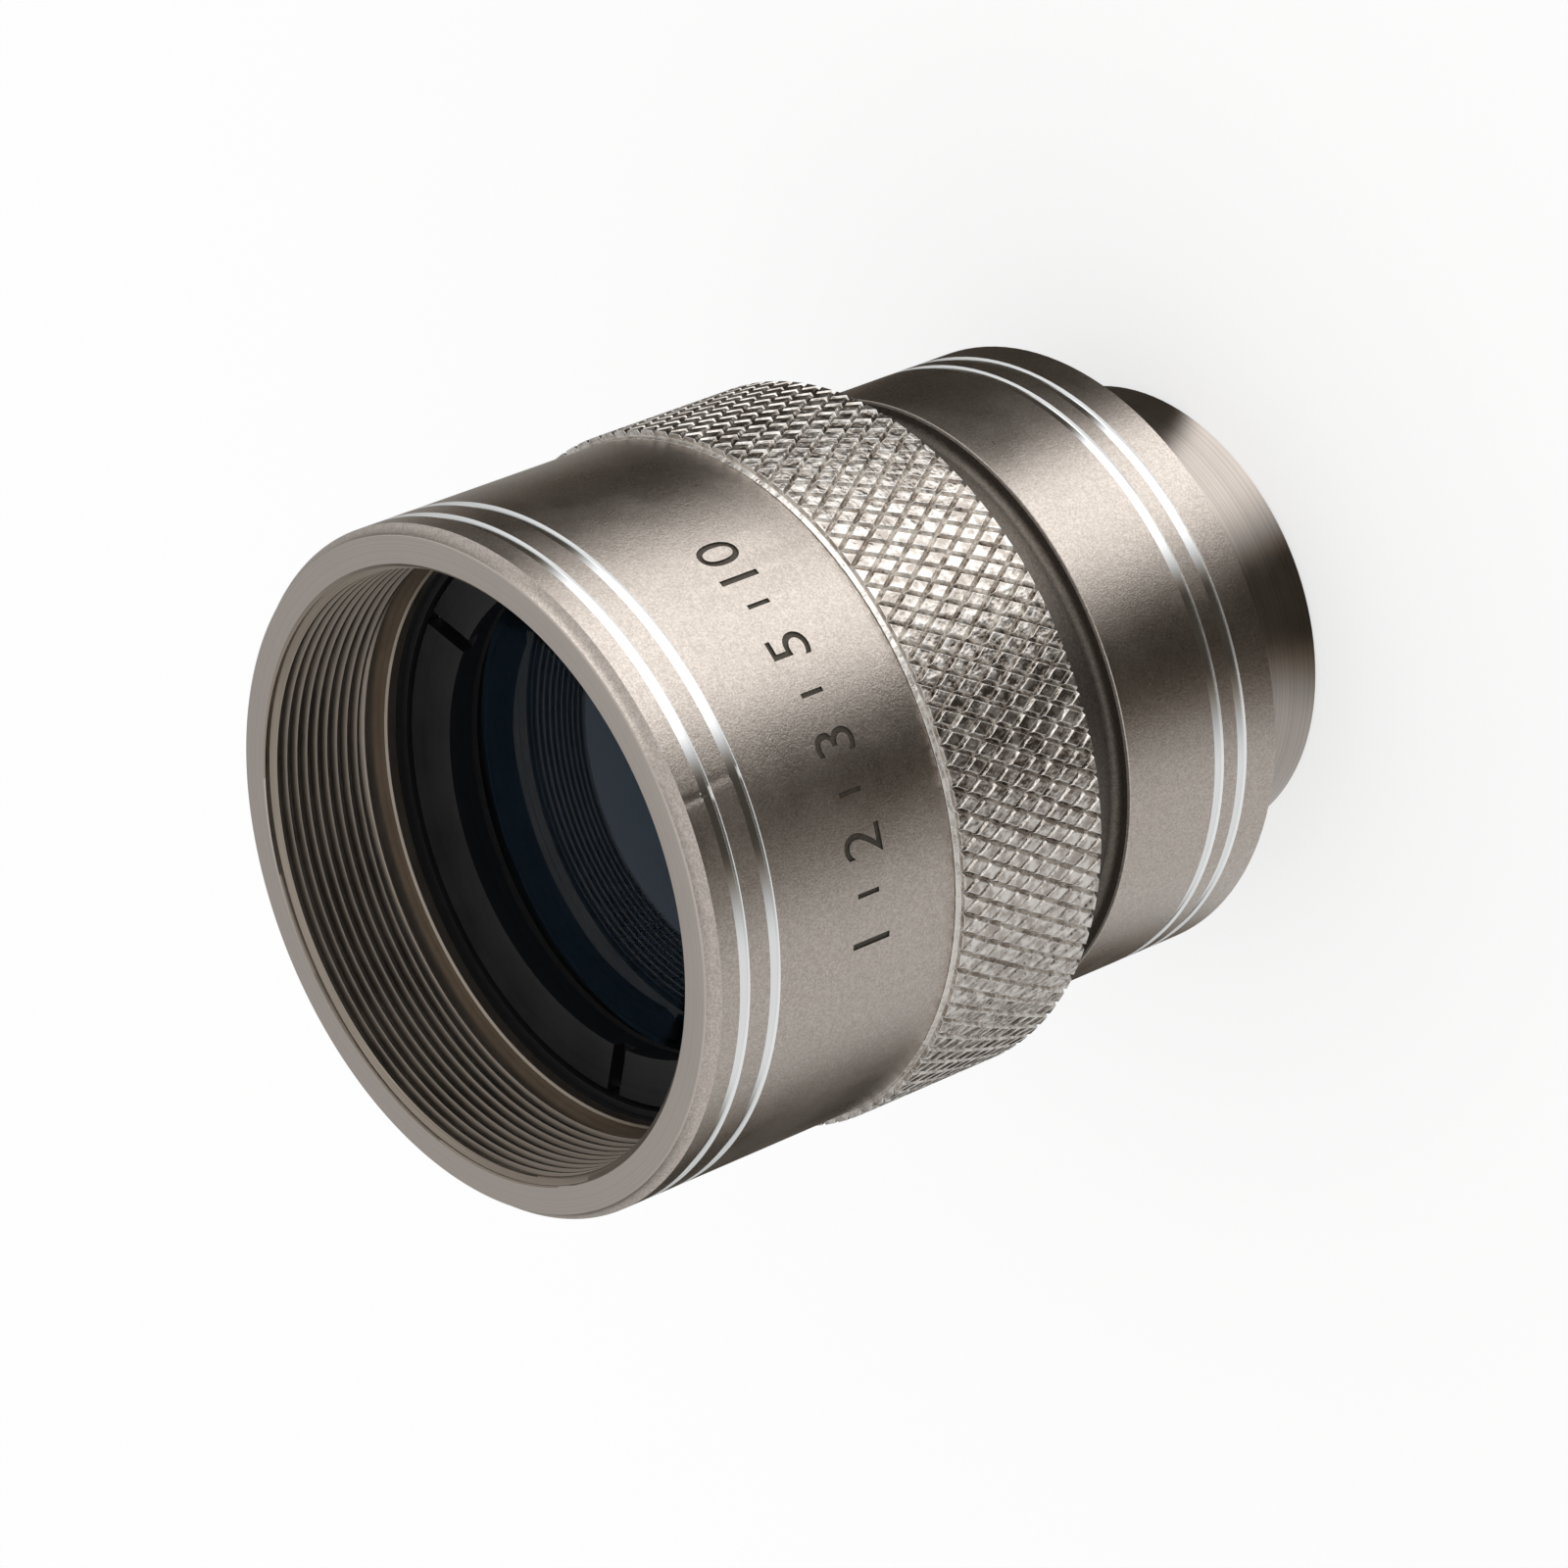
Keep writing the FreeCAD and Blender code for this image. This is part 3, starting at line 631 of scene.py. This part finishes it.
def turned_metal(name, roughness, colour=satin_colour, spacing=0.05, depth=0.004):
    """Metal left as the lathe tool cut it, with fine rings."""
    material, work, shader = new_material(name)
    lines = work.group(turned_lines, {"Spacing": spacing})["Height"]
    smudge = work.group(handling, {"Size": 5.0})["Smudge"]
    wear_sheen_and_shade = work.group(wear_sheen_hollow_shade, {"Width": 0.05, "Hollow": 0.6})
    dark = tuple(0.78 * part for part in colour[:3]) + (1,)
    shade = work.mix(work.spread(lines, 0.35, 0.65), dark, colour)
    # Painted shade in hollows
    shade = work.mix(work.maths("MULTIPLY", wear_sheen_and_shade["Hollow_painted_shade"], 0.6), shade, painted_hollow_shade)
    # Worn edges with painted highlight
    shade = work.mix(work.maths("MULTIPLY", wear_sheen_and_shade["Worn_edge_and_sheen"], 0.7), shade, wear_and_sheen_colour)
    work.join(shade, shader.inputs["Base Color"])
    work.join(work.spread(smudge, 0, 1, roughness - 0.03, roughness + 0.05), shader.inputs["Roughness"])
    work.join(bump(work, lines, depth), shader.inputs["Normal"])
    shader.inputs["Metallic"].default_value = 1.0
    return material


def engraved_metal():
    """Dull brown floor of the engraved dial."""
    material, work, shader = new_material("engraved_metal")
    grain = work.group(blast_grain, {"Grain": 0.12})
    darker = tuple(0.55 * part for part in engraved_colour[:3]) + (1,)
    work.join(work.mix(grain["Shade"], darker, engraved_colour), shader.inputs["Base Color"])
    work.join(work.spread(grain["Height"], 0.3, 0.7, 0.5, 0.7), shader.inputs["Roughness"])
    work.join(bump(work, grain["Height"], 0.01), shader.inputs["Normal"])
    shader.inputs["Metallic"].default_value = 0.6
    return material


def black_metal():
    """Satin black coating on turned metal, rubbed a little at the edges."""
    material, work, shader = new_material("black_metal")
    lines = work.group(turned_lines, {"Spacing": 0.09})["Height"]
    wear_sheen_and_shade = work.group(wear_sheen_hollow_shade, {"Width": 0.05, "Hollow": 0.6})
    smudge = work.group(handling, {"Size": 3.0})["Smudge"]
    colour = work.mix(work.spread(lines, 0.35, 0.65), black_dark, black_colour)
    colour = work.mix(work.maths("MULTIPLY", wear_sheen_and_shade["Worn_edge_and_sheen"], 0.5), colour, black_rubbed)
    work.join(colour, shader.inputs["Base Color"])
    work.join(work.spread(smudge, 0, 1, 0.3, 0.4), shader.inputs["Roughness"])
    work.join(bump(work, lines, 0.003), shader.inputs["Normal"])
    return material


def coated_glass():
    """Clear glass with a blue coating, a trace of dust and blackened edges."""
    material, work, shader = new_material("blue_coated_glass")
    place = work.add("ShaderNodeTexCoord").outputs["Object"]
    dust = work.spread(work.noise(place, 0.25 * MM, 2.0), 0.7, 0.85, 0.0, 0.12)
    smudge = work.group(handling, {"Size": 9.0})["Smudge"]
    work.join(work.maths("MULTIPLY_ADD", smudge, 0.02, dust), shader.inputs["Roughness"])
    facing = work.add("ShaderNodeNewGeometry").outputs["Normal"]
    forwards = work.maths("ABSOLUTE", work.add("ShaderNodeSeparateXYZ", {"Vector": facing}).outputs["Z"])
    edge = work.spread(forwards, 0.4, 0.6, 1.0, 0.0)
    colour = work.mix(smudge, glass_colour, glass_smudged)
    work.join(work.mix(edge, colour, glass_edge), shader.inputs["Base Color"])
    shader.inputs["IOR"].default_value = glass_bending
    shader.inputs["Transmission Weight"].default_value = 1.0
    shader.inputs["Specular Tint"].default_value = glass_coating
    return material


def plain_plastic(name, low, high, roughness, grain_size=0.3):
    """Dull plastic, rubber or felt with its own grain."""
    material, work, shader = new_material(name)
    place = work.add("ShaderNodeTexCoord").outputs["Object"]
    grain = work.noise(place, grain_size * MM, 4.0, 0.65)
    work.join(work.mix(work.spread(grain, 0.3, 0.7), low, high), shader.inputs["Base Color"])
    work.join(work.spread(grain, 0.3, 0.7, roughness, roughness + 0.1), shader.inputs["Roughness"])
    work.join(bump(work, grain, grain_size * 0.15), shader.inputs["Normal"])
    return material


neck_start = rear_face + neck_height
front_bands = tuple(front_face - depth for depth in groove_depths)
rear_bands = tuple(rear_face + height for height in rear_groove_heights)
satin_front = satin_metal("satin_front_metal", front_bands)
satin_rear = satin_metal("satin_rear_metal", rear_bands, neck_start)
face_metal = turned_metal("turned_face_metal", 0.4)
thread_metal = turned_metal("cut_thread_metal", 0.36, thread_colour)
knurl_metal = knurled_metal()
dial_metal = engraved_metal()
black = black_metal()
brushed = turned_metal("brushed_spigot_metal", 0.3, spigot_colour, 0.06, 0.002)
steel = turned_metal("screw_steel", 0.25, (0.6, 0.6, 0.6, 1))
brass = turned_metal("key_brass", 0.3, (0.75, 0.58, 0.3, 1))
blue_glass = coated_glass()
rubber = plain_plastic("seal_rubber", (0.012, 0.012, 0.012, 1), (0.02, 0.02, 0.02, 1), 0.6)
felt = plain_plastic("felt_wool", (0.015, 0.015, 0.015, 1), (0.04, 0.04, 0.04, 1), 0.9, 0.2)
white_plastic = plain_plastic("bearing_plastic", (0.72, 0.72, 0.7, 1), (0.8, 0.8, 0.78, 1), 0.4)

node_finishes = {
    knurl_metal: ("grip_ring",),
    satin_rear: ("rear_barrel",),
    brushed: ("mount_spigot",),
    black: (
        "thrust_ring", "lens_cell", "front_retaining_ring", "inner_retaining_ring", "glare_baffle",
        "rear_stop_ring", "rear_retaining_ring",
    ),
    blue_glass: (
        "front_crown_element", "front_flint_element", "inner_convex_element", "rear_concave_element",
        "rear_meniscus_element",
    ),
    white_plastic: ("front_thrust_washer", "rear_thrust_washer"),
    rubber: ("front_seal_ring",),
    felt: ("skirt_felt_ring",),
    brass: ("guide_keys", "spigot_shim"),
    steel: ("guide_screws",),
}
for finish, names in node_finishes.items():
    for name in names:
        nodes[name].data.materials.clear()
        nodes[name].data.materials.append(finish)


# Front barrel with its thread, grooves and dial

OUTSIDE, FACE, THREAD, CHAMBER = range(4)


def barrel_zone(first, second):
    """Which finish a strip of the barrel's wall has."""
    lowest = min(first.z, second.z) / MM
    radius = max(first.xy.length, second.xy.length) / MM
    if lowest > front_face - face_round / 2:
        return FACE
    if radius < bore_side_radius:
        return THREAD if lowest > black_chamber_top - thread_pitch / 4 else CHAMBER
    return OUTSIDE


barrel_mesh = turned(barrel_outline, turned_segments, barrel_zone)
barrel = finished_mesh("front_barrel_dressed", barrel_mesh, [satin_front, face_metal, thread_metal, black])
cut(barrel, dial_cutter(dial_metal))
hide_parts("front_barrel")
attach(barrel, "focus_group")


# Studio: strengths where one is white, and the size of the floor in metres

floor_size = 3.0
floor_drop = 0.05 * MM
floor_matt = (0.36, 0.36, 0.36, 1)
floor_glow = 0.69
side_light = 0.8
overhead_light = 1.1
white_background = 1.0

# Bowl of soft panels and grey cards round the lens, which only its metal and gloss mirror. Lengths are in
# millimetres and turns in degrees: the radius and height above the floor of each ring, the heights where
# the bowl fades out, and the strength of each panel with the turn of its middle and its half widths. Each
# floor card has the radii where it starts, is full, starts to fade and ends. Above the floor the wall of
# the bowl glows softly, and the rear card stands on where the rest has faded out.
surround_rings = ((10, 0), (40, 0), (62, 3), (80, 12), (92, 30), (96, 60), (96, 120), (96, 210))
surround_segments = 96
surround_fade = (45.0, 85.0)
surround_shade = 0.045
shade_tint = (1.0, 0.84, 0.66, 1)
panel_tint = (1.0, 1.0, 1.0, 1)
panels = (
    (1.72, {"Turn": -47.5, "Inner": 17.0, "Outer": 43.0}),
    (0.66, {"Turn": -158.0, "Inner": 19.0, "Outer": 49.0}),
    (0.34, {"Turn": 60.0, "Inner": 8.0, "Outer": 34.0}),
)
floor_cards = (
    ((4.0, 12.0, 44.0, 60.0), {"Turn": -9.0, "Inner": 20.0, "Outer": 40.0}),
    ((4.0, 8.0, 24.0, 32.0), {"Turn": -26.0, "Inner": 10.0, "Outer": 28.0}),
)
rear_card = {"Turn": 90.0, "Inner": 45.0, "Outer": 75.0}
rear_card_shade = 0.5
wall_glow = 0.5
wall_glow_heights = (16.0, 40.0)


def seen_rays(work):
    """One for the rays that show the white background: those of the camera, metal and glass."""
    path = work.add("ShaderNodeLightPath").outputs
    seen = work.maths("MAXIMUM", path["Is Camera Ray"], path["Is Glossy Ray"])
    return work.maths("MAXIMUM", seen, path["Is Transmission Ray"])


def studio_floor():
    """Pale floor that shows white and keeps the lens's soft shadow."""
    build = bmesh.new()
    bmesh.ops.create_grid(build, x_segments=1, y_segments=1, size=floor_size / 2)
    bmesh.ops.translate(build, verts=build.verts, vec=(0, 0, cad_low.z - floor_drop))
    material, work = empty_material("studio_floor")
    matt = work.add("ShaderNodeBsdfDiffuse", {"Color": floor_matt})
    glow = work.add("ShaderNodeEmission", {"Strength": work.maths("MULTIPLY", seen_rays(work), floor_glow)})
    both = work.add("ShaderNodeAddShader", {0: matt.outputs[0], 1: glow.outputs[0]})
    work.add("ShaderNodeOutputMaterial", {"Surface": both.outputs[0]})
    finished_mesh("studio_floor", build, [material])


def turn_band_group():
    """Smooth band of turns round the lens axis, by its middle and its half widths in degrees."""
    tree, work, entry, leave = new_group("turn_band", {"Turn": 0.0, "Inner": 20.0, "Outer": 40.0}, ("Share",))
    place = work.add("ShaderNodeTexCoord").outputs["Object"]
    split = work.add("ShaderNodeSeparateXYZ", {"Vector": place}).outputs
    flat = work.add("ShaderNodeCombineXYZ", {"X": split["X"], "Y": split["Y"]}).outputs[0]
    flat = work.vector("NORMALIZE", flat)
    turn = work.maths("RADIANS", entry["Turn"])
    across = {"X": work.maths("COSINE", turn), "Y": work.maths("SINE", turn)}
    aim = work.add("ShaderNodeCombineXYZ", across).outputs[0]
    apart = work.maths("DEGREES", work.maths("ARCCOSINE", work.vector("DOT_PRODUCT", flat, aim)))
    work.join(work.spread(apart, entry["Inner"], entry["Outer"], 1.0, 0.0), leave["Share"])
    return tree


def surround_material():
    """Glow of the panels and cards, clear above them."""
    material, work = empty_material("studio_surround")
    band = turn_band_group()
    glow = surround_shade
    for strength, values in panels:
        glow = work.maths("MULTIPLY_ADD", work.group(band, values)["Share"], strength, glow)
    place = work.add("ShaderNodeTexCoord").outputs["Object"]
    split = work.add("ShaderNodeSeparateXYZ", {"Vector": place}).outputs
    height = work.maths("DIVIDE", split["Z"], MM)
    flat = work.add("ShaderNodeCombineXYZ", {"X": split["X"], "Y": split["Y"]}).outputs[0]
    radius = work.maths("DIVIDE", work.vector("LENGTH", flat), MM)
    for (start, full, last, end), values in floor_cards:
        ring = work.maths("MULTIPLY", work.spread(radius, start, full), work.spread(radius, last, end, 1, 0))
        card = work.maths("MULTIPLY", ring, work.group(band, values)["Share"])
        glow = work.spread(card, 0, 1, glow, surround_shade)
    glow = work.maths("MAXIMUM", glow, work.spread(height, *wall_glow_heights, 0.0, wall_glow))
    low = work.spread(height, *surround_fade, 1.0, 0.0)
    rear = work.maths("MULTIPLY", work.group(band, rear_card)["Share"], work.maths("SUBTRACT", 1.0, low))
    glow = work.spread(rear, 0, 1, glow, rear_card_shade)
    cover = work.maths("MAXIMUM", low, rear)
    clear = work.add("ShaderNodeBsdfTransparent")
    tint = work.mix(work.spread(glow, surround_shade, 0.5), shade_tint, panel_tint)
    lit = work.add("ShaderNodeEmission", {"Color": tint, "Strength": glow})
    both = work.add("ShaderNodeMixShader", {0: cover, 1: clear.outputs[0], 2: lit.outputs[0]})
    work.add("ShaderNodeOutputMaterial", {"Surface": both.outputs[0]})
    return material


def studio_surround():
    """Bowl of panels and cards round the lens, seen in its metal and gloss only."""
    build = bmesh.new()
    rows = []
    for radius, rise in surround_rings:
        height = cad_low.z + rise * MM - floor_drop / 2
        row = []
        for segment in range(surround_segments):
            angle = 2 * math.pi * segment / surround_segments
            place = (radius * MM * math.cos(angle), radius * MM * math.sin(angle), height)
            row.append(build.verts.new(place))
        rows.append(row)
    for low_row, high_row in zip(rows, rows[1:]):
        for segment in range(surround_segments):
            after = (segment + 1) % surround_segments
            build.faces.new((low_row[segment], low_row[after], high_row[after], high_row[segment]))
    surround = finished_mesh("studio_surround", build, [surround_material()], sharp_angle=90)
    surround.visible_camera = False
    surround.visible_diffuse = False
    surround.visible_transmission = False
    surround.visible_shadow = False


def studio_world():
    """White background, and even soft light that is a little stronger from overhead."""
    world = bpy.data.worlds.new("studio")
    bpy.context.scene.world = world
    world.use_nodes = True
    work = Nodes(world.node_tree)
    heading = work.add("ShaderNodeTexCoord").outputs["Generated"]
    height = work.add("ShaderNodeSeparateXYZ", {"Vector": heading}).outputs["Z"]
    light = work.spread(height, -0.2, 0.9, side_light, overhead_light)
    share = work.add("ShaderNodeMix", data_type="FLOAT")
    work.join(seen_rays(work), share.inputs[0])
    work.join(light, share.inputs[2])
    work.join(white_background, share.inputs[3])
    sky = work.add("ShaderNodeBackground", {"Strength": share.outputs[0]})
    work.add("ShaderNodeOutputWorld", {"Surface": sky.outputs[0]})


camera_elevation = 37.105
camera_roll = -111.588
camera_distance = 462.13 * MM
camera_aim = Vector((-1.635, 0, 31.076)) * MM
camera_lens = 181.04
sensor_width = 36.0


def studio_camera():
    """Camera at the photograph's viewing angle."""
    rise = math.radians(camera_elevation)
    roll = math.radians(camera_roll)
    forward = Vector((0, math.cos(rise), -math.sin(rise)))
    level_right = Vector((1, 0, 0))
    level_up = Vector((0, math.sin(rise), math.cos(rise)))
    right = level_right * math.cos(roll) + level_up * math.sin(roll)
    up = level_up * math.cos(roll) - level_right * math.sin(roll)
    data = bpy.data.cameras.new("studio_camera")
    data.lens = camera_lens
    data.sensor_width = sensor_width
    data.clip_start = 10 * MM
    camera = bpy.data.objects.new("studio_camera", data)
    place = camera_aim - forward * camera_distance
    camera.matrix_world = Matrix.Translation(place) @ Matrix((right, up, -forward)).transposed().to_4x4()
    bpy.context.scene.collection.objects.link(camera)
    bpy.context.scene.camera = camera


studio_floor()
studio_surround()
studio_world()
studio_camera()
bpy.context.scene.view_settings.view_transform = "Standard"
